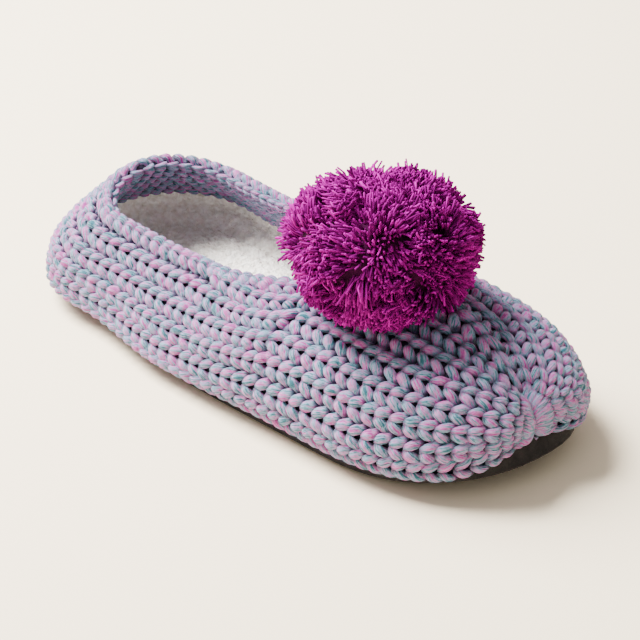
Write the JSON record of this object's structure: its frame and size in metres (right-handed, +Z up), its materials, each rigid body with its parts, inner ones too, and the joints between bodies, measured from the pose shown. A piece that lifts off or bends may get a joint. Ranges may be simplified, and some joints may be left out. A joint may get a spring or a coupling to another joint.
{
  "type": "knitted slipper",
  "caption": "Low rib-knit slipper with a gathered toe, rolled collar, fleece inside, thin dark sole and a cut-yarn pompom on the vamp.",
  "frame": {"origin": "on the floor under the middle of the slipper", "axes": "+X from heel to toe, +Y to the inner side of this right slipper, +Z up"},
  "size_m": [0.2551, 0.1115, 0.1015],
  "materials": {
    "sole": "matt, fine nap",
    "fleece": "cream sherpa fleece",
    "knit": "marled lilac and grey-blue yarn, chunky rib",
    "pompom_yarn": "magenta cut yarn"
  },
  "bodies": {
    "root": {"outsole": "sole", "insole": "fleece", "upper": "knit", "pompom": "pompom_yarn"}
  },
  "joints": []
}
